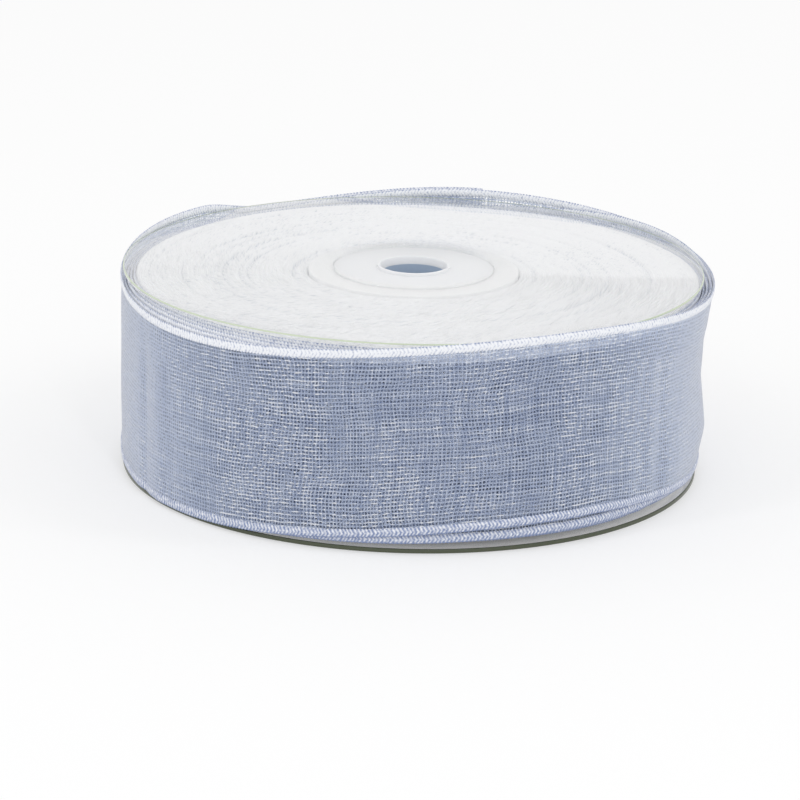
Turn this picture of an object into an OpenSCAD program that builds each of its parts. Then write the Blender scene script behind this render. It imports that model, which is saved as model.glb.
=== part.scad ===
// Ribbon spool: two clear flanges on a tubular core, wound with sheer ribbon.
// Millimetres. The spool axis is Z, and the origin is the middle of the lower
// flange's outer face, so the spool stands on the plane Z = 0.

/* [Flanges] */
// Diameter of the two clear discs
flange_d = 80; // [60:1:120]
// Thickness of a disc
flange_t = 0.6; // [0.4:0.1:1.2]

/* [Core] */
// Outer diameter of the tube that joins the discs
core_d = 29; // [26:0.5:40]
// Bore of the tube, which takes the hub plugs' spigots
core_bore_d = 18; // [16:0.5:22]
// Depth of the step at each end of the tube, under a plug's head
seat_depth = 1.4; // [1:0.1:2.5]

/* [Hub plugs] */
// Bore that turns on a spindle or dispenser peg
spindle_d = 8.7; // [5:0.1:10.5]
// How far a plug's head overhangs its spigot, all round
head_lip = 2; // [1:0.1:2.5]
// Length of the spigot below the head
spigot_len = 7; // [4:0.5:10]
// Depth of the head's face below the disc's outer face
head_recess = 0.4; // [0.2:0.1:0.6]
// Wall of the spindle tube and of the spigot
plug_wall = 1.3; // [1:0.1:1.4]
// Width of the raised rim round the spindle bore
rim_w = 0.7; // [0.4:0.1:1]
// Number of ribs between spindle tube and spigot
rib_count = 6; // [3:1:8]

/* [Ribbon] */
// Width of the ribbon
ribbon_w = 25.4; // [6:0.2:50]
// Room between ribbon and disc, at each side
ribbon_play = 0.8; // [0.5:0.1:2]
// Thickness that one layer of sheer ribbon takes up
ribbon_t = 0.2; // [0.1:0.05:0.25]
// How far the tight winding stays inside the discs' rim
pack_margin = 1.9; // [1.9:0.1:6]
// Mean distance of the outermost turn past the discs' rim
rim_clear = 1.2; // [1.2:0.1:2]
// How far the loose turns lean over to +X
lean = 0.75; // [0.5:0.05:0.75]
// Radial step from one loose turn to the next
turn_pitch = 0.45; // [0.4:0.01:0.45]

/* [Free tail] */
// Angle from +X to the cut end of the ribbon
tail_end = 76; // [60:1:80]
// Angle of outer turn that can be peeled off
tail_span = 120; // [60:5:130]

/* [Starter tape] */
// Thickness of the tape that holds the ribbon's inner end on the core
tape_t = 0.1; // [0.05:0.01:0.15]
// Width of the tape along the core
tape_w = 19; // [5:1:25]
// Length of the tape round the core, as an angle
tape_span = 50; // [20:5:120]

/* [Hidden] */
$fn = 96;

cut = 1;           // how far a cutting tool runs past the face that it cuts
head_gap = 0.1;    // radial gap between a plug's head and what is round it
spigot_fit = 0.02; // radial gap of a spigot in the core before it is bonded
tape_gap = 0.05;   // gap between the ribbon's inner end and the tape
seam_gap = 0.2;    // gap between two pieces of the tail, at their hinge
tail_count = 8;
facet = 5;         // degrees of ribbon to one facet, at most

core_len = ribbon_w + 2 * ribbon_play;
spool_h = core_len + 2 * flange_t;
head_d = core_bore_d + 2 * head_lip;
seat_d = head_d + 2 * head_gap;
head_t = flange_t + seat_depth - head_recess;
tube_d = spindle_d + 2 * plug_wall;
tape_r = core_d / 2 + tape_t;
pack_r = flange_d / 2 - pack_margin;
ribbon_floor = flange_t + ribbon_play;
tail_root = tail_end + tail_span;
tail_step = tail_span / tail_count;
half_seam = seam_gap / 2 / (flange_d / 2 + rim_clear) * 180 / PI;

// Crests and hollows of the loose turns' upper edge, from the cut end inwards:
// the angle along the strip, and the height above the upper disc's face
swells = [
    [40, 1.5], [76, 1.5], [124, -0.3], [140, 1.2], [220, -2.4], [302, 0.95],
    [350, -0.8], [436, 1.4], [490, -1], [590, -1.9], [680, -0.6], [712, -0.9],
    [758, 0.8], [806, -1], [960, -1.5], [1050, -0.95], [1320, -1.25], [1500, -1.4],
    [1680, -0.95], [1900, -1.2]
];

// Which stretch between two swells an angle falls in
function stretch(a, i = 0) = a <= swells[i + 1][0] ? i : stretch(a, i + 1);

// Height of the strip's upper edge above the disc, level at each crest and hollow
function rise(a) =
    let (i = stretch(a), from = swells[i], to = swells[i + 1])
    let (way = (1 - cos(180 * (a - from[0]) / (to[0] - from[0]))) / 2)
    from[1] + (to[1] - from[1]) * way;

// Outer radius of the strip: a spiral that leans over to one side
function turn_r(a) =
    flange_d / 2 + rim_clear + lean * cos(a) - turn_pitch * (a - tail_end) / 360;

// The four corners of the strip's section at one angle along it
function section(a) =
    let (out = turn_r(a), in = out - ribbon_t, low = spool_h + rise(a) - ribbon_w)
    [for (r_z = [[out, low], [in, low], [in, low + ribbon_w], [out, low + ribbon_w]])
        [r_z[0] * cos(a), r_z[0] * sin(a), r_z[1]]];

// A stretch of upright ribbon from one angle along the strip to another
module strip(a0, a1) {
    steps = ceil((a1 - a0) / facet);
    corners = [for (i = [0:steps]) each section(a0 + (a1 - a0) * i / steps)];
    sides = [for (i = [0:steps - 1], k = [0:3])
        let (next = (k + 1) % 4)
        [4 * i + k, 4 * i + next, 4 * i + 4 + next, 4 * i + 4 + k]];
    ends = [[3, 2, 1, 0], [for (k = [0:3]) 4 * steps + k]];
    polyhedron(corners, concat(sides, ends), convexity = 4);
}

// A cylinder with a coaxial hole right through it
module ring(outer_d, inner_d, h, z = 0) {
    translate([0, 0, z])
    difference() {
        cylinder(d = outer_d, h = h);
        translate([0, 0, -cut]) cylinder(d = inner_d, h = h + 2 * cut);
    }
}

// One clear disc, with the hole that a plug's head sits in
module flange() ring(flange_d, seat_d, flange_t);

module lower_flange() color("azure", 0.35) flange();

module upper_flange() color("azure", 0.35)
    translate([0, 0, spool_h - flange_t]) flange();

// Tube between the discs, stepped at both ends for the plugs' heads
module core() color("whitesmoke")
    translate([0, 0, flange_t])
    difference() {
        ring(core_d, core_bore_d, core_len);
        for (z = [-cut, core_len - seat_depth])
            translate([0, 0, z]) cylinder(d = seat_d, h = seat_depth + cut);
    }

// Plug as it sits in the lower end: rim, recessed head, spigot, spindle tube, ribs
module hub_plug() {
    spigot_d = core_bore_d - 2 * spigot_fit;
    inner_d = spigot_d - 2 * plug_wall;
    skin_z = head_recess + head_t;
    ring(spindle_d + 2 * rim_w, spindle_d, head_recess + head_t / 2);
    ring(head_d, spindle_d, head_t, head_recess);
    ring(spigot_d, inner_d, spigot_len + head_t / 2, skin_z - head_t / 2);
    ring(tube_d, spindle_d, spigot_len + head_t / 2, skin_z - head_t / 2);
    for (i = [0:rib_count - 1])
        rotate(360 * i / rib_count)
        translate([(tube_d - plug_wall) / 2, -plug_wall / 4, skin_z - head_t / 2])
            cube([(inner_d - tube_d + 2 * plug_wall) / 2, plug_wall / 2, spigot_len]);
}

module lower_hub_plug() color("gainsboro") hub_plug();

module upper_hub_plug() color("gainsboro")
    translate([0, 0, spool_h]) rotate([180, 0, 0]) hub_plug();

// Tape on the core, over the ribbon's inner end
module starter_tape() color("ivory")
    translate([0, 0, spool_h / 2 - tape_w / 2])
    rotate_extrude(angle = tape_span)
        translate([core_d / 2, 0]) square([tape_t, tape_w]);

// The tight winding between the discs
module ribbon_pack() color("lightsteelblue")
    ring(2 * pack_r, 2 * (tape_r + tape_gap), ribbon_w, ribbon_floor);

module loose_turn_4() color("lightsteelblue") strip(tail_end + 1440, tail_end + 1800);

module loose_turn_3() color("lightsteelblue") strip(tail_end + 1080, tail_end + 1440);

module loose_turn_2() color("lightsteelblue") strip(tail_end + 720, tail_end + 1080);

module loose_turn_1() color("lightsteelblue") strip(tail_end + 360, tail_end + 720);

module outer_turn() color("cornflowerblue")
    strip(tail_root + half_seam, tail_end + 360);

// One piece of the free tail, counted from where it leaves the outer turn. Each
// seam is an upright hinge line, half a seam's gap from the pieces on both sides.
module tail_piece(count) color("slateblue") {
    near = tail_root - (count - 1) * tail_step;
    strip(near - tail_step + half_seam, near - half_seam);
}

lower_flange();
upper_flange();
core();
lower_hub_plug();
upper_hub_plug();
starter_tape();
ribbon_pack();
loose_turn_4();
loose_turn_3();
loose_turn_2();
loose_turn_1();
outer_turn();
tail_piece(1);  // tail_1
tail_piece(2);  // tail_2
tail_piece(3);  // tail_3
tail_piece(4);  // tail_4
tail_piece(5);  // tail_5
tail_piece(6);  // tail_6
tail_piece(7);  // tail_7
tail_piece(8);  // tail_8
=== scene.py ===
# %% [markdown]
# # A spool of sheer ribbon
# The object is a clear plastic spool, wound full of pale blue see-through ribbon whose last turns sit
# loosely round the discs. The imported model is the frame: it says where everything is. Each piece below
# is worked out as a surface, laid over its plain solid, and given the finish of the real material.

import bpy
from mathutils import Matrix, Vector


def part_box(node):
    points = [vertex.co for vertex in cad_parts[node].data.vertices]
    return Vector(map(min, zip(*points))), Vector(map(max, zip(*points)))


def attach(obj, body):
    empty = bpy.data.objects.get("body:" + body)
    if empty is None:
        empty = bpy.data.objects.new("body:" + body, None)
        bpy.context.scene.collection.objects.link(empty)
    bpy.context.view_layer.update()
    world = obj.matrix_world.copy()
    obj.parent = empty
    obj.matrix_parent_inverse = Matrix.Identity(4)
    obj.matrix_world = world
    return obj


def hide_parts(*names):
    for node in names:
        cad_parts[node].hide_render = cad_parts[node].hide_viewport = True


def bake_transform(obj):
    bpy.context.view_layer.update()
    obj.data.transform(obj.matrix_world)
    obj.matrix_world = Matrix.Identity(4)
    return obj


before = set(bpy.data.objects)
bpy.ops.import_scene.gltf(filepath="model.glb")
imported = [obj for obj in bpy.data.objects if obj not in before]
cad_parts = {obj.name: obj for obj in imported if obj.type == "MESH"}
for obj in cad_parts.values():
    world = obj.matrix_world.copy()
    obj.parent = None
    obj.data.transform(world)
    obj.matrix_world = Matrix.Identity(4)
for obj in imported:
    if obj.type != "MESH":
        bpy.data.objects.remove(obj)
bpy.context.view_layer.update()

# %% Libraries and units
import math

import bpy
import numpy as np
from mathutils import Matrix

MM = 0.001          # shapes are worked out in millimetres and stored in metres
TURN = 2 * math.pi

# %% [markdown]
# ## The spool's own sizes
# A piece that is fitted to a solid takes its size from that solid's box, so the looks can't drift away
# from the frame. Only the roundings, which the plain solids don't have, are new numbers.

# %% Sizes from the frame
def corners(node):
    """The lowest and highest corner of a node, in millimetres."""
    low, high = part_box(node)
    return np.array(low) / MM, np.array(high) / MM


disc_low, disc_high = corners("upper_flange")
DISC_R = disc_high[0]
SPOOL_H = disc_high[2]
DISC_T = disc_high[2] - disc_low[2]
CORE_R = corners("core")[1][0]
HEAD_R = corners("upper_hub_plug")[1][0]
PACK_LOW, PACK_HIGH = corners("ribbon_pack")
PACK_R = PACK_HIGH[0]
print("disc radius %.1f, spool height %.1f, winding radius %.1f" % (DISC_R, SPOOL_H, PACK_R))

# %% [markdown]
# ## Making a mesh out of grids
# Every piece here is one or more grids: a rectangle of points, worked out as whole arrays, whose rows and
# columns may close on themselves. A disc is a closed outline carried round a circle, a ribbon is an
# upright line carried along a spiral. One helper turns such grids into a mesh, so the rest of the file
# can be about shapes.

# %% Grid helper
def grid(points, uv, wrap=(False, False), slot=0, caps=False):
    """One rectangle of points (rows, columns, 3) and its map in millimetres. wrap closes the rows or the
    columns, and the map then has one more of them. Faces run row to column, so the side that row
    direction x column direction points to is the outside. caps closes both ends of a tube."""
    return {"points": points, "uv": uv, "wrap": wrap, "slot": slot, "caps": caps}


def grid_faces(part, first):
    """Corner numbers and map places of a grid's faces: each face takes the point, its neighbour in the
    next row, the one diagonally across, and its neighbour in the next column."""
    rows, columns = part["points"].shape[:2]
    i, j = np.meshgrid(
        np.arange(rows - 1 + part["wrap"][0]), np.arange(columns - 1 + part["wrap"][1]), indexing="ij"
    )
    ii = np.stack([i, i + 1, i + 1, i], -1).reshape(-1, 4)
    jj = np.stack([j, j, j + 1, j + 1], -1).reshape(-1, 4)
    return first + (ii % rows) * columns + jj % columns, part["uv"][ii, jj]


def build(name, parts, materials, sharp=35):
    """A mesh object out of grids, with its map, its materials and smooth shading up to the sharp angle."""
    loops, sizes, uvs, slots, first = [], [], [], [], 0
    for part in parts:
        rows, columns = part["points"].shape[:2]
        quads, uv = grid_faces(part, first)
        loops.append(quads.ravel())
        sizes.append(np.full(len(quads), 4))
        uvs.append(uv.reshape(-1, 2))
        slots.append(np.full(len(quads), part["slot"]))
        if part["caps"]:
            ring = first + np.arange(columns)
            loops += [ring, ring[::-1] + (rows - 1) * columns]
            sizes.append(np.full(2, columns))
            uvs += [part["uv"][0, :columns], part["uv"][-1, :columns][::-1]]
            slots.append(np.full(2, part["slot"]))
        first += rows * columns
    loops, sizes = np.concatenate(loops), np.concatenate(sizes)
    points = np.concatenate([part["points"].reshape(-1, 3) for part in parts]) * MM
    mesh = bpy.data.meshes.new(name)
    mesh.vertices.add(len(points))
    mesh.vertices.foreach_set("co", points.astype(np.float32).ravel())
    mesh.loops.add(len(loops))
    mesh.loops.foreach_set("vertex_index", loops.astype(np.int32))
    mesh.polygons.add(len(sizes))
    mesh.polygons.foreach_set("loop_start", (np.cumsum(sizes) - sizes).astype(np.int32))
    mesh.polygons.foreach_set("material_index", np.concatenate(slots).astype(np.int32))
    mesh.update(calc_edges=True)
    layer = mesh.uv_layers.new(name="cloth_mm")
    layer.data.foreach_set("uv", np.concatenate(uvs).astype(np.float32).ravel())
    mesh.shade_smooth()
    mesh.set_sharp_from_angle(angle=math.radians(sharp))
    for material in materials:
        mesh.materials.append(material)
    mesh.validate()
    piece = bpy.data.objects.new(name, mesh)
    bpy.context.scene.collection.objects.link(piece)
    print("%-20s %6d faces, %5.1f mm tall" % (name, len(sizes), np.ptp(points[:, 2]) / MM))
    return piece


# %% [markdown]
# ## Turned shapes
# Discs, tube and plugs are all turned shapes with a hole through them. Each is a closed outline of radius
# and height, drawn anticlockwise, with every corner eased a little: moulded plastic has no knife edges,
# and it is the eased edge that catches the light.

# %% Turned shapes
def eased(outline, radius, steps=4):
    """Swaps each corner of a closed outline for a short curve that leaves the edge `radius` before the
    corner and joins the next one `radius` after it (a curve of the second degree through both)."""
    here = np.array(outline, float)
    back, on = np.roll(here, 1, 0) - here, np.roll(here, -1, 0) - here
    length_back, length_on = np.linalg.norm(back, axis=1), np.linalg.norm(on, axis=1)
    reach = np.minimum(radius, 0.45 * np.minimum(length_back, length_on))
    start = here + back * (reach / length_back)[:, None]
    end = here + on * (reach / length_on)[:, None]
    t = np.linspace(0, 1, steps)[None, :, None]
    curve = (1 - t) ** 2 * start[:, None] + 2 * t * (1 - t) * here[:, None] + t ** 2 * end[:, None]
    return curve.reshape(-1, 2)


def turned(outline, steps=192, slot=0):
    """An outline (radius, height) carried once round the axis: x = radius cos, y = radius sin."""
    angle = np.arange(steps) / steps * TURN
    r, z = outline[None, :, 0], outline[None, :, 1]
    points = np.stack(
        [r * np.cos(angle)[:, None], r * np.sin(angle)[:, None], z + 0 * angle[:, None]], -1
    )
    along = np.append(0, np.cumsum(np.linalg.norm(np.roll(outline, -1, 0) - outline, axis=1)))
    round_ = np.arange(steps + 1) / steps * TURN * outline[:, 0].mean()
    uv = np.stack(np.broadcast_arrays(round_[:, None], along[None, :]), -1)
    return grid(points, uv, wrap=(True, True), slot=slot)


# %% [markdown]
# ## Colours and nodes
# Colours are written as the hex codes that a paint chart would give and turned to linear light once, here.
# One small function adds any node, sets it up and links its inputs, and the materials are built from it.

# %% Colour and node helpers
def colour(hexcode):
    """An sRGB hex code as linear red, green, blue and a full alpha."""
    srgb = np.array([int(hexcode[i:i + 2], 16) for i in (1, 3, 5)]) / 255
    linear = np.where(srgb <= 0.04045, srgb / 12.92, ((srgb + 0.055) / 1.055) ** 2.4)
    return (*linear.tolist(), 1.0)


def material(name):
    """An empty node material."""
    made = bpy.data.materials.new(name)
    made.use_nodes = True
    made.node_tree.nodes.clear()
    return made


def add(owner, kind, inputs=(), out=0, **settings):
    """Adds one node to a material or world and returns one of its outputs: settings are the node's own
    properties, and inputs maps a socket's name or number to a value or to the output that feeds it."""
    made = owner.node_tree.nodes.new("ShaderNode" + kind)
    for key, value in settings.items():
        setattr(made, key, value)
    for key, value in dict(inputs).items():
        if isinstance(value, bpy.types.NodeSocket):
            owner.node_tree.links.new(value, made.inputs[key])
        else:
            made.inputs[key].default_value = value
    return made.outputs[out] if len(made.outputs) else None


# %% [markdown]
# ## Clear discs
# The discs are moulded in clear polystyrene, 0.6 mm thick. What the eye gets from such a thin plate is not
# bending but a veil: at a low angle each of its two faces mirrors about a fifth of the white room over
# what lies below. So the plate is see-through mixed with a mirror by Fresnel's law. Cycles turns the index
# over by itself on the way out of the plate; because nothing bends here, it is turned back. The rim is
# where the eye looks along the plate, and the plastic's faint green adds up there.

# %% Clear polystyrene
POLYSTYRENE_IOR = 1.5


def clear_polystyrene():
    """A straight see-through share and a mirrored share, divided by Fresnel's law."""
    made = material("clear moulded polystyrene")
    inside = add(made, "NewGeometry", out="Backfacing")
    index = add(made, "MapRange", {0: inside, 3: POLYSTYRENE_IOR, 4: 1 / POLYSTYRENE_IOR})
    mirror_share = add(made, "Fresnel", {"IOR": index})
    through = add(made, "BsdfTransparent", {"Color": colour("#FFFFFF")})
    mirror = add(made, "BsdfGlossy", {"Color": colour("#FFFFFF"), "Roughness": 0.06})
    plate = add(made, "MixShader", {0: mirror_share, 1: through, 2: mirror})
    add(made, "OutputMaterial", {"Surface": plate})
    return made


def disc_rim(name, tint):
    """The plastic seen along its thickness, where its faint tint adds up; each rim's tint is painted
    lighter or darker for the light or shade on that edge.
    """
    made = material(name)
    plastic = add(made, "BsdfPrincipled", {
        "Base Color": colour(tint), "Roughness": 0.25, "IOR": POLYSTYRENE_IOR})
    add(made, "OutputMaterial", {"Surface": plastic})
    return made


CLEAR = clear_polystyrene()
# the upper rim's green is painted pale, a painted highlight, and the lower rim's is painted dark olive, a
# painted shade near the floor
UPPER_RIM_PAINTED_LIGHT = disc_rim("moulded polystyrene edge, lit", "#CBD6BE")
LOWER_RIM_PAINTED_SHADE = disc_rim("moulded polystyrene edge, in shade", "#4C523F")

# %% Discs
RIM_EASE = 0.17     # rounding of the disc's edges
SEAT_R = HEAD_R + 0.1
HAIR = 0.01         # margin by which a face is told to lie on a wall
ROUND_DISC = 360    # points round a disc


def centres(piece):
    """Radius and height of the middle of every face, in millimetres."""
    co = np.zeros(len(piece.data.polygons) * 3, np.float32)
    piece.data.polygons.foreach_get("center", co)
    x, y, z = co.reshape(-1, 3).T / MM
    return np.hypot(x, y), z


def disc(name, z, rim, rim_from):
    """A flat ring: clear faces, and the rim's material on its outer edge from the height rim_from up."""
    outline = eased([(SEAT_R, z), (DISC_R, z), (DISC_R, z + DISC_T), (SEAT_R, z + DISC_T)], RIM_EASE)
    piece = build(name, [turned(outline, ROUND_DISC)], [CLEAR, rim])
    r, height = centres(piece)
    on_rim = (r > DISC_R - RIM_EASE) & (height > rim_from)
    piece.data.polygons.foreach_set("material_index", on_rim.astype(np.int32))
    return piece


lower_disc = disc("lower_disc", 0, LOWER_RIM_PAINTED_SHADE, -1)
upper_disc = disc("upper_disc", SPOOL_H - DISC_T, UPPER_RIM_PAINTED_LIGHT, SPOOL_H - RIM_EASE - HAIR)
for piece, node in ((lower_disc, "lower_flange"), (upper_disc, "upper_flange")):
    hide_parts(node)
    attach(piece, "spool")

# %% [markdown]
# ## Core and plugs
# The core is a white polystyrene tube, and a plug of the same white is pushed into each end of it. A plug
# is a recessed flat head with a raised rim round the spindle bore, whose mouth opens in a short taper that
# catches the light. Out of sight are a spigot and a spindle tube with six ribs between them. All of it is
# turned, but for the ribs, which are small boxes set round a circle.

# %% White plastic
def white_plastic(name, tint, roughness, depth=0.0):
    """Moulded polystyrene: satin, with the fine unevenness of a textured mould. Light soaks in as far as
    the given depth in millimetres, which softens its thin edges."""
    made = material(name)
    place = add(made, "TexCoord", out="Object")
    grain = add(made, "TexNoise", {"Vector": place, "Scale": 2500.0, "Detail": 2.0})
    cloud = add(made, "TexNoise", {"Vector": place, "Scale": 120.0, "Detail": 1.0})
    soft = add(made, "MapRange", {0: cloud, 3: roughness - 0.07, 4: roughness + 0.07})
    bump = add(made, "Bump", {"Height": grain, "Strength": 0.15, "Distance": 0.02 * MM})
    plastic = add(made, "BsdfPrincipled", {
        "Base Color": colour(tint), "Roughness": soft, "Normal": bump, "IOR": POLYSTYRENE_IOR,
        "Subsurface Weight": 0.7 if depth else 0.0, "Subsurface Radius": (1.0, 1.0, 1.0),
        "Subsurface Scale": depth * MM})
    add(made, "OutputMaterial", {"Surface": plastic})
    return made


# satin whites, the plug's a shade duller than the core's; the wall of the bore is given a blue-grey, to
# stand for the light that is lost deep in a narrow hole
CORE_WHITE = white_plastic("white moulded polystyrene", "#F0F1F2", 0.4, 1.5)
PLUG_WHITE = white_plastic("off-white moulded polystyrene", "#E9EAEC", 0.35, 1.5)
BORE_GREY = white_plastic("polystyrene wall of the spindle bore", "#B4C4D8", 0.3)

# %% Core
BORE_R = 9.0
SEAT_DEPTH = 1.4
FILM = 0.04         # the tube's ends stop this far short of the clear discs, so that no two faces coincide
core_z0, core_z1 = DISC_T + FILM, SPOOL_H - DISC_T - FILM
CORE_SEAT_R = HEAD_R + 0.03
CORE_EASE = 0.08
core_outline = eased([
    (BORE_R, core_z0 + SEAT_DEPTH), (CORE_SEAT_R, core_z0 + SEAT_DEPTH), (CORE_SEAT_R, core_z0),
    (CORE_R, core_z0), (CORE_R, core_z1), (CORE_SEAT_R, core_z1),
    (CORE_SEAT_R, core_z1 - SEAT_DEPTH), (BORE_R, core_z1 - SEAT_DEPTH),
], CORE_EASE)
core_tube = build("core_tube", [turned(core_outline)], [CORE_WHITE])
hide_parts("core")
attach(core_tube, "spool")

# %% Plugs
SPINDLE_R = 4.35
MOUTH_R = 4.65      # radius of the bore at its tapered mouth
RIM_R = 5.05
TUBE_R = 5.65
SPIGOT_R = 8.98
SPIGOT_IN = 7.68
HEAD_RECESS = 0.4
HEAD_T = 1.6
SPIGOT_END = 9.0
BRIGHT_LIP = 1.05   # depth of the mouth's taper, which is as white as the head
RIBS = 6
RIB_T = 0.65
RIB_GRIP = 0.3      # how far a rib reaches into the spigot and the spindle tube
RIB_ROOT = 0.2      # and into the head
RIB_SHORT = 1.0     # and how far it stops short of the spigot's end
PLUG_EASE = 0.1


def plug_parts():
    """The lower plug: its outline turned, and six ribs as closed four-sided tubes."""
    skin = HEAD_RECESS + HEAD_T
    outline = eased([
        (SPINDLE_R, BRIGHT_LIP), (MOUTH_R, 0), (RIM_R, 0), (RIM_R, HEAD_RECESS),
        (HEAD_R, HEAD_RECESS), (HEAD_R, skin),
        (SPIGOT_R, skin), (SPIGOT_R, SPIGOT_END), (SPIGOT_IN, SPIGOT_END), (SPIGOT_IN, skin),
        (TUBE_R, skin), (TUBE_R, SPIGOT_END), (SPINDLE_R, SPIGOT_END),
    ], PLUG_EASE)
    parts = [turned(outline)]
    low, high = skin - RIB_ROOT, SPIGOT_END - RIB_SHORT
    section = np.array([(-1, low), (1, low), (1, high), (-1, high)])
    for angle in np.arange(RIBS) / RIBS * TURN:
        r = np.array([TUBE_R - RIB_GRIP, SPIGOT_IN + RIB_GRIP])[:, None]
        side = -section[None, :, 0] * RIB_T / 2
        points = np.stack([
            r * math.cos(angle) - side * math.sin(angle),
            r * math.sin(angle) + side * math.cos(angle),
            section[None, :, 1] + 0 * r,
        ], -1)
        parts.append(grid(points, np.zeros((2, 5, 2)), wrap=(False, True), caps=True))
    return parts


def plug(name, upside_down):
    """One plug, as it stands in the lower end or turned over into the upper one."""
    parts = plug_parts()
    if upside_down:     # half a turn about X, which keeps the faces pointing outwards
        for part in parts:
            part["points"] = part["points"] * (1, -1, -1) + (0, 0, SPOOL_H)
    piece = build(name, parts, [PLUG_WHITE, BORE_GREY])
    r, height = centres(piece)
    depth = SPOOL_H - height if upside_down else height
    on_bore = (r < SPINDLE_R + HAIR / 2) & (depth > BRIGHT_LIP)
    piece.data.polygons.foreach_set("material_index", on_bore.astype(np.int32))
    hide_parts("upper_hub_plug" if upside_down else "lower_hub_plug")
    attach(piece, "spool")
    return piece


lower_plug = plug("lower_plug", False)
upper_plug = plug("upper_plug", True)

# %% [markdown]
# ## Starter tape
# A strip of thin tape holds the ribbon's first centimetres on the core. It is out of sight under the
# winding, but it is a real piece, so it is here: a thin closed strip carried part of the way round.

# %% Starter tape
def tape_paper():
    """Crepe paper tape: cream, matt and finely wrinkled, with no direction in the wrinkles."""
    made = material("crepe paper tape")
    place = add(made, "TexCoord", out="Object")
    wrinkle = add(made, "TexNoise", {"Vector": place, "Scale": 900.0, "Detail": 3.0})
    tone = add(made, "ValToRGB", {0: wrinkle})
    stops = tone.node.color_ramp.elements
    stops[0].color = colour("#DCCFAE")
    stops[1].color = colour("#F1E8CF")
    bump = add(made, "Bump", {"Height": wrinkle, "Strength": 0.5, "Distance": 0.05 * MM})
    paper = add(made, "BsdfPrincipled", {"Base Color": tone, "Roughness": 0.8, "Normal": bump})
    add(made, "OutputMaterial", {"Surface": paper})
    return made


tape_low, tape_high = corners("starter_tape")
TAPE_SPAN = math.radians(50)
TAPE_T = 0.1
TAPE_EASE = 0.03
TAPE_POINTS = 41    # points along the tape
tape_angle = np.linspace(0, TAPE_SPAN, TAPE_POINTS)[:, None]
tape_section = eased([
    (CORE_R, tape_low[2]), (CORE_R + TAPE_T, tape_low[2]),
    (CORE_R + TAPE_T, tape_high[2]), (CORE_R, tape_high[2])], TAPE_EASE)
tape_points = np.stack([
    tape_section[None, :, 0] * np.cos(tape_angle), tape_section[None, :, 0] * np.sin(tape_angle),
    tape_section[None, :, 1] + 0 * tape_angle], -1)
tape_uv = np.stack(np.broadcast_arrays(
    tape_angle * CORE_R, np.linspace(0, 2 * (tape_high[2] - tape_low[2]), len(tape_section) + 1)[None]), -1)
tape_strip = build("starter_tape_strip",
                   [grid(tape_points, tape_uv, wrap=(False, True), caps=True)], [tape_paper()])
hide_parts("starter_tape")
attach(tape_strip, "spool")

# %% [markdown]
# ## Sheer weave
# The ribbon is organza: a plain weave of fine stiff nylon, so open that you look into its gaps and see the
# turns below. The threads run along the ribbon every 0.51 mm and across it every 0.46 mm. It could be
# modelled thread by thread, but six hundred threads a turn, crossing at some 27,000 places, is too much,
# so the cloth is one surface whose gaps are cut out by the material. Each thread is a smooth wave across
# its width: high enough it is thread, lower it is gap. The threads bow a little off the straight, never
# the same way twice, so where two turns lie over each other their gaps drift in and out of step, as they
# do in the real cloth. Seen at a low angle the threads close up, and the cloth is painted paler there, a
# painted sheen; the facing angle drives both. The glints are painted too: each thread is painted lighter
# along its crown, and short lengths of warp are painted near white in drifts.

# %% Weave
WARP = 25.4 / 50    # spacing of the threads that run along the ribbon
WEFT = 0.46         # spacing of the threads that run across it
WAVE_PERIOD = math.pi / 10   # length of one wave of the Wave texture at scale 1
BOWING = (3.5, 1.2, 0.0)     # strength of the bowing along and across the ribbon, in millimetres
GAP_COVER, THREAD_COVER = 0.05, 0.96    # how much a gap and a thread hide of what lies behind
GLOW_SHARE = 0.3    # share of a thread's light that has come through it from the far side


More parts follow.
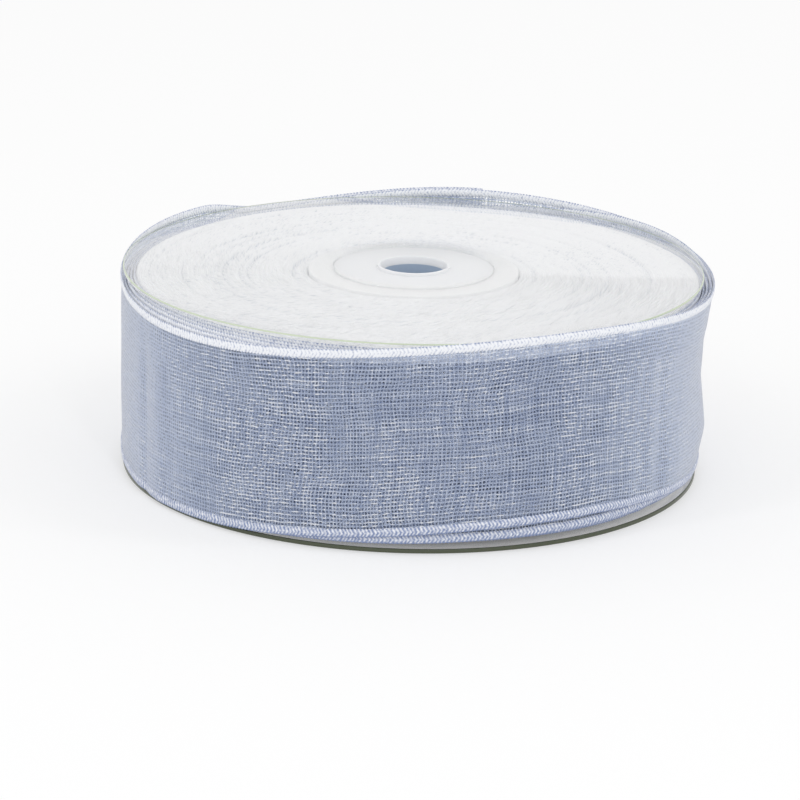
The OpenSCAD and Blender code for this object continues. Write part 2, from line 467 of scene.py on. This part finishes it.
def sheer_weave():
    """Plain weave with see-through gaps, bright slubs, painted glints on floats and crowns, and paler where
    it is seen edge on, partly as the gaps close and partly by a painted sheen.
    """
    made = material("sheer woven nylon")
    flat = add(made, "TexCoord", out="UV")
    # the threads leave the straight by up to a millimetre or so over a centimetre or two
    slow = add(made, "Mapping", {"Vector": flat, "Scale": (0.06, 0.09, 1.0)})
    bowing = add(made, "TexNoise", {"Vector": slow, "Scale": 1.0, "Detail": 1.0}, out=1)
    place = add(made, "VectorMath", {0: bowing, 1: BOWING, 2: flat}, operation="MULTIPLY_ADD")
    warp, weft = (add(made, "TexWave", {
        "Vector": place, "Scale": WAVE_PERIOD / spacing, "Distortion": wander, "Detail": 2.0,
        "Detail Scale": 0.8, "Detail Roughness": 0.6,
    }, out="Fac", bands_direction=axis, wave_profile="SIN")
        for axis, spacing, wander in (("Y", WARP, 2.4), ("X", WEFT, 2.6)))
    height = add(made, "Math", {0: warp, 1: weft}, operation="MAXIMUM")
    # the share of the cloth that is thread
    on_warp = add(made, "MapRange", {0: warp, 1: 0.5, 2: 0.88}, interpolation_type="SMOOTHSTEP")
    on_weft = add(made, "MapRange", {0: weft, 1: 0.56, 2: 0.98}, interpolation_type="SMOOTHSTEP")
    on_thread = add(made, "Math", {0: on_warp, 1: on_weft}, operation="MAXIMUM")
    facing = add(made, "LayerWeight", {"Blend": 0.5}, out="Facing")
    edge_on = add(made, "MapRange", {0: facing, 1: 0.12, 2: 0.75, 4: 0.85},
                  interpolation_type="SMOOTHSTEP")
    cover = add(made, "MapRange", {0: on_thread, 3: GAP_COVER, 4: THREAD_COVER})
    cover = add(made, "Math", {0: edge_on, 1: 0.8, 2: cover}, operation="MULTIPLY_ADD", use_clamp=True)
    # slubs: long streaks in which one thread is thicker and paler than the next
    along = add(made, "Mapping", {"Vector": flat, "Scale": (0.07, 1.9, 1.0)})
    across = add(made, "Mapping", {"Vector": flat, "Scale": (2.4, 0.1, 1.0)})
    long_slub = add(made, "TexNoise", {"Vector": along, "Scale": 1.0, "Detail": 2.0})
    cross_slub = add(made, "TexNoise", {"Vector": across, "Scale": 1.0, "Detail": 2.0})
    streak = add(made, "Math", {0: long_slub, 1: cross_slub}, operation="ADD")
    # painted glints: short lengths of warp, taken to lie proud, painted near white as if they caught the
    # light, in drifts a centimetre or two wide
    short = add(made, "Mapping", {"Vector": flat, "Scale": (1.5, 2.6, 1.0)})
    proud = add(made, "TexNoise", {"Vector": short, "Scale": 1.0, "Detail": 2.0})
    broad = add(made, "Mapping", {"Vector": flat, "Scale": (0.1, 0.03, 1.0)})
    drift = add(made, "TexNoise", {"Vector": broad, "Scale": 1.0, "Detail": 1.0})
    lifted = add(made, "MapRange", {0: proud, 1: 0.5, 2: 0.66})
    # and where the warp lies low, stray filaments close the gaps a little
    filled = add(made, "MapRange", {0: proud, 1: 0.52, 2: 0.36, 4: 0.6})
    cover = add(made, "Math", {0: cover, 1: filled}, operation="ADD", use_clamp=True)
    gathered = add(made, "MapRange", {0: drift, 1: 0.4, 2: 0.6, 3: 0.1})
    painted_glint = add(made, "Math", {0: lifted, 1: gathered}, operation="MULTIPLY")
    painted_glint = add(made, "Math", {0: painted_glint, 1: on_warp}, operation="MULTIPLY")
    light = add(made, "Math", {0: streak, 1: 0.9, 2: -0.65}, operation="MULTIPLY_ADD")
    # painted highlight: each thread is painted lighter along its crown
    light = add(made, "Math", {0: height, 1: 0.4, 2: light}, operation="MULTIPLY_ADD")
    light = add(made, "Math", {0: painted_glint, 1: 1.3, 2: light}, operation="MULTIPLY_ADD")
    # the colour is painted paler where the cloth is seen edge on, a painted sheen; the cover above is the
    # real closing of the gaps
    to_painted_sheen = add(made, "Math", {0: 0.82, 1: light}, operation="SUBTRACT")
    light = add(made, "Math", {0: to_painted_sheen, 1: edge_on, 2: light}, operation="MULTIPLY_ADD")
    tone = add(made, "ValToRGB", {0: light})
    stops = tone.node.color_ramp.elements
    stops[0].position = 0.15
    stops[0].color = colour("#7687AB")
    stops[1].position = 0.75
    stops[1].color = colour("#BFC9DE")
    stops.new(1.0).color = colour("#F8FAFF")
    relief = add(made, "MapRange", {0: edge_on, 3: 0.7, 4: 0.1})
    bump = add(made, "Bump", {"Height": height, "Strength": relief, "Distance": 0.12 * MM})
    fibre = add(made, "BsdfPrincipled", {
        "Base Color": tone, "Roughness": 0.3, "Normal": bump, "IOR": 1.6,
        "Sheen Weight": 0.5, "Sheen Roughness": 0.35})
    glow = add(made, "BsdfTranslucent", {"Color": colour("#DFE6F2")})
    thread = add(made, "MixShader", {0: GLOW_SHARE, 1: fibre, 2: glow})
    gap = add(made, "BsdfTransparent")
    cloth = add(made, "MixShader", {0: cover, 1: gap, 2: thread})
    add(made, "OutputMaterial", {"Surface": cloth})
    return made


SHEER = sheer_weave()

# %% [markdown]
# ## Selvages
# Both edges of the ribbon are bound: the weft turns round a bundle of thicker white threads, a good
# millimetre wide, and shows as slanting stitches. These white lines are what draws every turn on the real
# spool, so they are real geometry, a flattened tube with a twist of beads along it, and the material paints
# the bluish shadow between two stitches and along the free edge, and a painted shade along the lower edge.

# %% Selvage material
BEAD = 0.5          # length of one stitch of the selvage
RIBBON_W = 25.4
SELVAGE_H = 1.25    # height of the bound edge
SELVAGE_T = 0.36    # its thickness
INNER_FADE = 0.3    # width over which the weave's blue comes through beside the cloth
FREE_EDGE_SHADE = (0.24, 0.1)     # from and to this far from the free edge the white gives way to a painted shadow
LOWER_SHADE_REACH = 3.0   # height from the lower edge within which it is painted darker and bluer, a painted shade


def selvage_thread():
    """White stitches slanting away from the middle of the bound edge both ways, with soft flecks, a painted
    shadow along the free edge and a painted shade along the lower edge.
    """
    made = material("stitched nylon selvage")
    place = add(made, "TexCoord", out="UV")
    v = add(made, "SeparateXYZ", {0: place}, out="Y")
    u = v.node.outputs["X"]
    off_middle = add(made, "Math", {0: v, 1: RIBBON_W / 2}, operation="SUBTRACT")
    off_middle = add(made, "Math", {0: off_middle}, operation="ABSOLUTE")
    up = add(made, "Math", {0: off_middle, 1: (RIBBON_W - SELVAGE_H) / 2}, operation="SUBTRACT")
    up = add(made, "Math", {0: up}, operation="ABSOLUTE")
    slant = add(made, "Math", {0: up, 1: 0.6, 2: u}, operation="MULTIPLY_ADD")
    flat_v = add(made, "Math", {0: v, 1: 0.4}, operation="MULTIPLY")
    chevron = add(made, "CombineXYZ", {0: slant, 1: flat_v})
    stitch = add(made, "TexWave", {
        "Vector": chevron, "Scale": WAVE_PERIOD / BEAD, "Distortion": 3.0, "Detail": 1.0,
        "Detail Scale": 0.9}, out="Fac", bands_direction="X", wave_profile="SIN")
    fleck = add(made, "TexNoise", {"Vector": place, "Scale": 2.6, "Detail": 2.0})
    level = add(made, "Math", {0: stitch, 1: 0.35, 2: -0.1}, operation="MULTIPLY_ADD")
    level = add(made, "Math", {0: fleck, 1: 1.0, 2: level}, operation="MULTIPLY_ADD")
    # the edge towards the cloth, where the blue of the weave comes through
    inner = add(made, "MapRange", {0: off_middle, 1: RIBBON_W / 2 - SELVAGE_H,
                                   2: RIBBON_W / 2 - SELVAGE_H + INNER_FADE, 3: -0.15, 4: 0.0})
    level = add(made, "Math", {0: level, 1: inner}, operation="ADD")
    # the free edge, darkened bluish: a painted shadow between the edges of neighbouring turns
    outer = add(made, "MapRange", {0: off_middle, 1: RIBBON_W / 2 - FREE_EDGE_SHADE[0],
                                   2: RIBBON_W / 2 - FREE_EDGE_SHADE[1], 3: 0.0, 4: -0.35})
    level = add(made, "Math", {0: level, 1: outer}, operation="ADD")
    # the lower edge is painted darker and bluer than the upper one: a painted shade, for the shade that it
    # lies in
    lower = add(made, "MapRange", {0: v, 1: 0.0, 2: LOWER_SHADE_REACH, 3: -0.45, 4: 0.0})
    level = add(made, "Math", {0: level, 1: lower}, operation="ADD")
    tone = add(made, "ValToRGB", {0: level})
    stops = tone.node.color_ramp.elements
    stops[0].position = 0.0
    stops[0].color = colour("#7F8EB4")
    stops[1].position = 0.55
    stops[1].color = colour("#F3F5FA")
    bump = add(made, "Bump", {"Height": stitch, "Strength": 0.6, "Distance": 0.08 * MM})
    cord = add(made, "BsdfPrincipled", {
        "Base Color": tone, "Roughness": 0.42, "Normal": bump, "Sheen Weight": 0.2,
        "Sheen Roughness": 0.4})
    add(made, "OutputMaterial", {"Surface": cord})
    return made


SELVAGE = selvage_thread()

# %% [markdown]
# ## The path of the loose turns
# The outer turns are a spiral: the radius falls by 0.45 mm a turn, and the whole bundle leans a little to
# one side. They also rise and sink, and that is the ribbon's character, so the height of the upper edge is
# given as a list of crests and hollows with a cosine wave between neighbours. The numbers are the frame's
# own, because the cloth has to lie on its solids.

# %% Spiral and swells
RIBBON_T = 0.2
RIM_CLEAR = 1.2
LEAN = 0.75
TURN_PITCH = 0.45
TAIL_END = 76.0
TAIL_ROOT = 196.0
TAIL_STEP = 15.0
SWELLS = np.array([
    (40, 1.5), (76, 1.5), (124, -0.3), (140, 1.2), (220, -2.4), (302, 0.95), (350, -0.8), (436, 1.4),
    (490, -1), (590, -1.9), (680, -0.6), (712, -0.9), (758, 0.8), (806, -1), (960, -1.5),
    (1050, -0.95), (1320, -1.25), (1500, -1.4), (1680, -0.95), (1900, -1.2), (2100, -1.4)])


def rise(a):
    """Height of the upper edge above the upper disc at angle a along the strip: level at each crest and
    hollow, and half a cosine wave between two of them."""
    i = np.clip(np.searchsorted(SWELLS[:, 0], a) - 1, 0, len(SWELLS) - 2)
    (a0, z0), (a1, z1) = SWELLS[i].T.reshape(2, -1), SWELLS[i + 1].T.reshape(2, -1)
    return z0 + (z1 - z0) * (1 - np.cos(math.pi * (a - a0) / (a1 - a0))) / 2


def spiral(a):
    """Radius of the middle of the cloth: disc, clearance and lean, less one pitch a turn."""
    return (DISC_R + RIM_CLEAR + LEAN * np.cos(np.radians(a))
            - TURN_PITCH * (a - TAIL_END) / 360 - RIBBON_T / 2)


def length_at(a):
    """Length of ribbon from the cut end to angle a: the radius summed along the way."""
    way = np.radians(a - TAIL_END)
    return ((DISC_R + RIM_CLEAR - RIBBON_T / 2) * way
            + LEAN * (np.sin(np.radians(a)) - math.sin(math.radians(TAIL_END)))
            - TURN_PITCH * way ** 2 / (2 * TURN))


# %% [markdown]
# ## How the cloth gives
# A perfect spiral wall would look like sheet metal. On the side towards +X the turns stand off the discs,
# so between its stiff edges the cloth sinks in at the waist. Elsewhere it only ripples by less than a
# tenth of a millimetre, with an upright crease here and there. Neighbouring turns share this field, so
# they can't run into each other.

# %% Waist and ripples
WAIST = np.array([(1, 1.5), (4, 1.1), (7, 0.55), (11, 1.0), (15, 1.4), (20, 1.2), (22.4, 0.7),
                  (25.8, 0.25), (28, 0)])
WAIST_REACH = 60    # degrees to each side of +X over which the waist fades out
# where a crease is, how wide and how deep, in degrees and millimetres
CREASES = ((208, 1.6, 0.22), (214, 2.2, -0.12), (318, 1.2, 0.12), (324, 1.8, 0.2), (20, 2.0, 0.15))
CREASE_TOP, CREASE_FADE = 26, 8     # creases end at this height, and fade over this much below it
# depth of a ripple, how many to a turn, and how far it leans with height
RIPPLES = ((0.05, 11, 0.23), (0.03, 27, -0.4))
RIPPLE_TOP, RIPPLE_FADE = 27, 4     # ripples end at this height and at the floor, fading over this much


def give(a, z):
    """Radial offset of the cloth at angle a and height z: the waist table faded out by a cosine square
    away from +X, less creases that are bell curves of the angle, plus two slow waves."""
    side = (a + 180) % 360 - 180
    fade = np.cos(np.clip(np.abs(side) / WAIST_REACH, 0, 1) * math.pi / 2) ** 2
    depth = -fade * np.interp(z, WAIST[:, 0], WAIST[:, 1])
    for at, spread, amount in CREASES:
        off = (a - at + 180) % 360 - 180
        reach = np.clip((CREASE_TOP - z) / CREASE_FADE, 0, 1)
        depth = depth - amount * np.exp(-(off / spread) ** 2) * reach
    slow = sum(amount * np.sin(np.radians(count * a) + lean * z) for amount, count, lean in RIPPLES)
    return depth + slow * np.clip(z / RIPPLE_FADE, 0, 1) * np.clip((RIPPLE_TOP - z) / RIPPLE_FADE, 0, 1)


def on_path(a, v, out):
    """Points at angle a along the strip, v above its lower edge and out from the middle of the cloth."""
    z = SPOOL_H + rise(a) - RIBBON_W + v
    r = spiral(a) + give(a, z) + out
    angle = np.radians(a)
    return np.stack([r * np.cos(angle), r * np.sin(angle), z], -1)


# %% Ribbon pieces
CLOTH_ROWS = 33
CLOTH_STEP = 1.0    # degrees between two columns of the cloth
STITCH_POINTS = 4   # points along one stitch of the selvage
TUBE_SIDES = 8
TWIST = 0.08        # how far a stitch stands proud, as a share of the section


def cloth_grid(a0, a1):
    """The see-through part: one surface, upright, between the middles of the two selvages."""
    steps = max(int(round((a1 - a0) / CLOTH_STEP)), 4)
    a = np.linspace(a0, a1, steps + 1)[:, None]
    v = np.linspace(SELVAGE_H / 2, RIBBON_W - SELVAGE_H / 2, CLOTH_ROWS)[None, :]
    a, v = np.broadcast_arrays(a, v)
    points = on_path(a.ravel(), v.ravel(), 0).reshape(*a.shape, 3)
    return grid(points, np.stack([length_at(a), v], -1), slot=0)


def selvage_grid(a0, a1, middle):
    """A bound edge: an ellipse carried along the strip, swelling with a twist once a stitch."""
    steps = max(int(round((length_at(a1) - length_at(a0)) / (BEAD / STITCH_POINTS))), 8)
    a = np.linspace(a0, a1, steps + 1)[:, None]
    turn = np.arange(TUBE_SIDES + 1)[None, :] / TUBE_SIDES * TURN
    a, turn = np.broadcast_arrays(a, turn)
    swell = 1 - TWIST + TWIST * np.sin(TURN * length_at(a) / BEAD + 2 * turn)
    out = SELVAGE_T / 2 * np.cos(turn) * swell
    up = middle + SELVAGE_H / 2 * np.sin(turn) * swell
    points = on_path(a.ravel(), up.ravel(), out.ravel()).reshape(*a.shape, 3)[:, :-1]
    uv = np.stack([length_at(a), up], -1)
    return grid(points, uv, wrap=(False, True), slot=1, caps=True)


def ribbon(name, a0, a1, node):
    """A stretch of ribbon from one angle along the strip to another."""
    piece = build(name, [
        cloth_grid(a0, a1), selvage_grid(a0, a1, SELVAGE_H / 2),
        selvage_grid(a0, a1, RIBBON_W - SELVAGE_H / 2)], [SHEER, SELVAGE], sharp=60)
    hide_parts(node)
    return piece


# %% [markdown]
# ## The wound ribbon
# Inside the discs lie turns beyond counting, perhaps a hundred, with only their edges showing. They are
# one solid with ridged faces. A layer takes a quarter of a millimetre at a guess, too fine to show, so
# there is one ridge every 0.55 mm, for every two turns or so. Real turns never end level: each wanders up
# and down by a few tenths of a millimetre on its way round, and its neighbours with it. That is made from
# slow waves whose strength drifts from ridge to ridge.

# %% Wound ribbon
RIDGE = 0.55
RIDGE_POINTS = 3
RIDGE_DROP = (0.2, 0.0, 0.1)    # how far those points lie below the crest
ROUND_STEPS = 340
WALL_ROWS = 12
FACE_DEPTH = 0.5    # the plain walls stop this far short of the ridges
WAVES = 9
KEPT, FRESH = 0.86, 0.5     # shares of the last ring's waves and of fresh chance in the next one
FALL = 0.7          # power by which waves weaken with their number to a turn
WANDER = 0.06       # strength of the waves, in millimetres
MOST_WANDER = 0.3
SUNK_SHARE, SUNK_DEPTH = 0.25, 0.3      # share of rings that lie sunk, and how deep
PACK_TOP = 27.2     # mean height of the edges, close under the upper disc
# turns from the cut end to the outside of the winding, at angles past the cut end: it follows the spiral
# and steps back where the innermost loose turn begins
PACK_TURNS = np.array([(0, 5.38), (12, 4.45), (360, 5.38)])
PACK_IN = CORE_R + TAPE_T + 0.02
random = np.random.default_rng(11)


def edge_heights(rings):
    """Height of every ridge round the circle: waves of 1 to 9 to a turn, each ring's strengths being the
    last ring's with a little fresh chance mixed in, plus a lonely sunk ring here and there."""
    fresh = random.normal(size=(rings, WAVES, 2))
    drift = np.zeros_like(fresh)
    for i in range(rings):
        drift[i] = KEPT * drift[i - 1] + FRESH * fresh[i] if i else fresh[i]
    order = np.arange(1, WAVES + 1)
    strength = drift / order[None, :, None] ** FALL
    angle = np.arange(ROUND_STEPS) / ROUND_STEPS * TURN
    waves = np.stack([np.cos(order[:, None] * angle), np.sin(order[:, None] * angle)], 1)
    heights = WANDER * np.einsum("nwk,wka->na", strength, waves)
    sunk = (random.random(rings) < SUNK_SHARE)[:, None] * SUNK_DEPTH * (0.5 + 0.5 * np.sin(
        angle[None] * 2 + random.random(rings)[:, None] * TURN))
    return np.clip(heights, -MOST_WANDER, MOST_WANDER) - sunk


def pack_face():
    """Share of the way from the core out, and height, of the ridged face, outermost first: three points
    to a ridge, of which the middle one is its crest."""
    rings = int((PACK_R - PACK_IN) / RIDGE)
    share = 1 - (np.arange(rings * RIDGE_POINTS) + 0.5) / (rings * RIDGE_POINTS)
    drop = np.tile(RIDGE_DROP, rings)
    return share, PACK_TOP + np.repeat(edge_heights(rings), RIDGE_POINTS, 0) - drop[:, None]


def wound():
    """The whole winding as one closed grid: up the outer wall, in over the ridges of the upper face,
    down the inner wall and out over the ridges of the lower face. The outer wall lies just inside the
    innermost loose turn and gives with it, and the rings between wall and core lean in proportion. The
    map is angle times radius, which doesn't close: the flecks change along one line, at +X."""
    upper, upper_h = pack_face()
    lower, lower_h = pack_face()
    angle = np.arange(ROUND_STEPS) / ROUND_STEPS * TURN
    wall_low, wall_high = SPOOL_H - PACK_TOP + FACE_DEPTH, PACK_TOP - FACE_DEPTH
    wall = np.linspace(wall_low, wall_high, WALL_ROWS)
    share = np.concatenate([np.ones(WALL_ROWS), upper, [0, 0], lower[::-1]])[None]
    flat = np.zeros((1, ROUND_STEPS))
    z = np.concatenate([
        wall[:, None] + flat, upper_h, wall_high + flat, wall_low + flat, SPOOL_H - lower_h[::-1]]).T
    turns = np.interp((np.degrees(angle) - TAIL_END) % 360, PACK_TURNS[:, 0], PACK_TURNS[:, 1])
    out = (DISC_R + RIM_CLEAR - RIBBON_T / 2 - TURN_PITCH * turns + LEAN * np.cos(angle))[:, None]
    out = out + give(np.degrees(angle)[:, None], z)
    r = PACK_IN + (out - PACK_IN) * share
    points = np.stack([r * np.cos(angle)[:, None], r * np.sin(angle)[:, None], z], -1)
    around = (np.arange(ROUND_STEPS + 1) / ROUND_STEPS * TURN)[:, None]
    radius = PACK_IN + (PACK_R - PACK_IN) * np.append(share[0], 1)[None]
    v = radius + np.append(z.mean(0), z.mean(0)[0])[None]
    return grid(points, np.stack(np.broadcast_arrays(around * radius, v), -1), wrap=(True, True), slot=0)


def wound_edges():
    """White stitched edges on the winding's faces, blue cloth deeper down and on its wall."""
    made = material("nylon selvages wound edge to edge")
    place = add(made, "TexCoord", out="UV")
    z = add(made, "SeparateXYZ", {0: place.node.outputs["Object"]}, out="Z")
    middle = (PACK_LOW[2] + PACK_HIGH[2]) / 2 * MM
    half = (PACK_HIGH[2] - PACK_LOW[2]) / 2 * MM
    off = add(made, "Math", {0: z, 1: middle}, operation="SUBTRACT")
    off = add(made, "Math", {0: off}, operation="ABSOLUTE")
    edge = add(made, "MapRange", {0: off, 1: half - 0.7 * MM, 2: half + 0.15 * MM, 3: -1.2, 4: -0.22},
               clamp=False)
    stretched = add(made, "Mapping", {"Vector": place, "Scale": (1.0, 0.45, 1.0)})
    fleck = add(made, "TexNoise", {"Vector": stretched, "Scale": 2.2, "Detail": 1.0})
    level = add(made, "Math", {0: fleck, 1: 2.2, 2: edge}, operation="MULTIPLY_ADD")
    tone = add(made, "ValToRGB", {0: level})
    stops = tone.node.color_ramp.elements
    stops[0].position = 0.0
    stops[0].color = colour("#8692AE")
    stops[1].position = 0.9
    stops[1].color = colour("#F8F9FB")
    stops.new(0.3).color = colour("#CBD0D9")
    bump = add(made, "Bump", {"Height": fleck, "Strength": 1.0, "Distance": 0.2 * MM})
    cord = add(made, "BsdfPrincipled", {
        "Base Color": tone, "Roughness": 0.5, "Normal": bump, "Sheen Weight": 0.2,
        "Sheen Roughness": 0.4})
    add(made, "OutputMaterial", {"Surface": cord})
    return made


wound_ribbon = build("wound_ribbon", [wound()], [wound_edges()], 60)
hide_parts("ribbon_pack")
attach(wound_ribbon, "spool")

# %% [markdown]
# ## Loose turns, outer turn and free tail
# Five turns lie loosely round the discs. The tail, the last third of the outermost one, can be peeled off
# towards its cut end. It is made in eight stretches, each of which reaches across one hinge, from the
# middle of one link of the frame to the middle of the next, so neighbouring stretches always meet on the
# same link.

# %% Loose and outer turns
for turn in (4, 3, 2, 1):
    inner = TAIL_END + 360 * turn
    piece = ribbon("turn_%d_from_outside" % (turn + 1), inner, inner + 360, "loose_turn_%d" % turn)
    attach(piece, "spool")

HALF = TAIL_STEP / 2
outer = ribbon("outer_turn_cloth", TAIL_ROOT + HALF, TAIL_END + 360, "outer_turn")
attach(outer, "spool")

# %% Tail
TAILS = 8


for count in range(1, TAILS + 1):
    hinge = TAIL_ROOT - (count - 1) * TAIL_STEP
    end = TAIL_END if count == TAILS else hinge - HALF
    piece = ribbon("tail_cloth_%d" % count, end, hinge + HALF, "tail_%d" % count)
    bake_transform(piece)

# %% [markdown]
# ## Stage, light and camera
# The spool stands on a white sweep in a white tent, so the light comes evenly from everywhere. The floor
# has a weak glow of its own, for the many bounces between tent and floor; it fades out under the spool,
# where that light can't get, and leaves a faint painted shadow round the foot. Three tall narrow lamps
# stand where the lengthwise threads mirror them and add faint glints; the bright streaks on the front are
# painted into the weave's colour. The camera stands half a metre away with a long lens, and looks down on
# the spool by 17 degrees. A glow painted on a floor is a stand-in: it doesn't follow the tail when that is
# peeled off.

# %% Floor
SHADE_FROM, SHADE_TO = 33 * MM, 41 * MM     # distances from the axis between which the glow comes up
UNDER_GLOW, OPEN_GLOW = 0.02, 0.47
floor_white = material("white sweep")
floor_place = add(floor_white, "TexCoord", out="Object")
from_axis = add(floor_white, "VectorMath", {0: floor_place}, out="Value", operation="LENGTH")
lit = add(floor_white, "MapRange", {
    0: from_axis, 1: SHADE_FROM, 2: SHADE_TO, 3: UNDER_GLOW, 4: OPEN_GLOW},
          interpolation_type="SMOOTHSTEP")
floor_glow = add(floor_white, "BsdfPrincipled", {
    "Base Color": colour("#BEBEBE"), "Roughness": 1.0, "Specular IOR Level": 0.0,
    "Emission Color": colour("#FFFFFF"), "Emission Strength": lit})
add(floor_white, "OutputMaterial", {"Surface": floor_glow})
FLOOR_HALF = 4000.0
FLOOR_Z = -0.05     # just under the foot, so that no two faces coincide
span = np.array([-FLOOR_HALF, FLOOR_HALF])
floor_x, floor_y = np.meshgrid(span, span, indexing="ij")
floor_points = np.stack([floor_x, floor_y, np.full((2, 2), FLOOR_Z)], -1)
floor = build("floor", [grid(floor_points, floor_points[..., :2])], [floor_white])

# %% World and lamps
scene = bpy.context.scene
tent = bpy.data.worlds.new("white tent")
tent.use_nodes = True
tent.node_tree.nodes.clear()
glow = add(tent, "Background", {"Color": colour("#FFFFFF"), "Strength": 0.88})
add(tent, "OutputWorld", {"Surface": glow})
scene.world = tent
scene.view_settings.view_transform = "Standard"


def lamp(name, azimuth, elevation, distance, width, height, watts):
    """A rectangular lamp that faces the spool; azimuth 0 is the camera's side, positive to the right."""
    data = bpy.data.lights.new(name, "AREA")
    data.shape, data.size, data.size_y, data.energy = "RECTANGLE", width, height, watts
    made = bpy.data.objects.new(name, data)
    az, el = math.radians(azimuth), math.radians(elevation)
    back = np.array([math.sin(az) * math.cos(el), -math.cos(az) * math.cos(el), math.sin(el)])
    right = np.array([math.cos(az), math.sin(az), 0.0])
    up = np.cross(back, right)
    made.matrix_world = Matrix([
        [right[i], up[i], back[i], back[i] * distance + (0, 0, SPOOL_H * MM / 2)[i]] for i in range(3)
    ] + [[0, 0, 0, 1]])
    scene.collection.objects.link(made)
    print("%s: %.0f W, azimuth %.0f, elevation %.0f" % (name, watts, azimuth, elevation))


lamp("left_strip", -54, 40, 1.0, 0.10, 0.6, 0.8)
lamp("front_strip", 17, 40, 1.0, 0.06, 0.6, 0.6)
lamp("right_strip", 81, 40, 1.0, 0.12, 0.6, 0.8)

# %% Camera
EYE = np.array([0.0, -464.4, 149.6]) * MM
YAW, PITCH, ROLL = (math.radians(x) for x in (-0.18, -16.89, 1.33))
camera_data = bpy.data.cameras.new("camera")
camera_data.sensor_width = 36.0
camera_data.lens = 156.4        # with the sensor's 36 mm, a view 13 degrees wide
camera_data.clip_start = 0.01
camera_data.clip_end = 20.0
camera = bpy.data.objects.new("camera", camera_data)
ahead = np.array([math.sin(YAW) * math.cos(PITCH), math.cos(YAW) * math.cos(PITCH), math.sin(PITCH)])
level = np.array([math.cos(YAW), -math.sin(YAW), 0.0])
upward = np.cross(level, ahead)
right = math.cos(ROLL) * level + math.sin(ROLL) * upward
upward = np.cross(right, ahead)
camera.matrix_world = Matrix([
    [right[i], upward[i], -ahead[i], EYE[i]] for i in range(3)] + [[0, 0, 0, 1]])
scene.collection.objects.link(camera)
scene.camera = camera
print("camera %.0f mm from the axis, lens %.1f mm" % (-EYE[1] / MM, camera_data.lens))
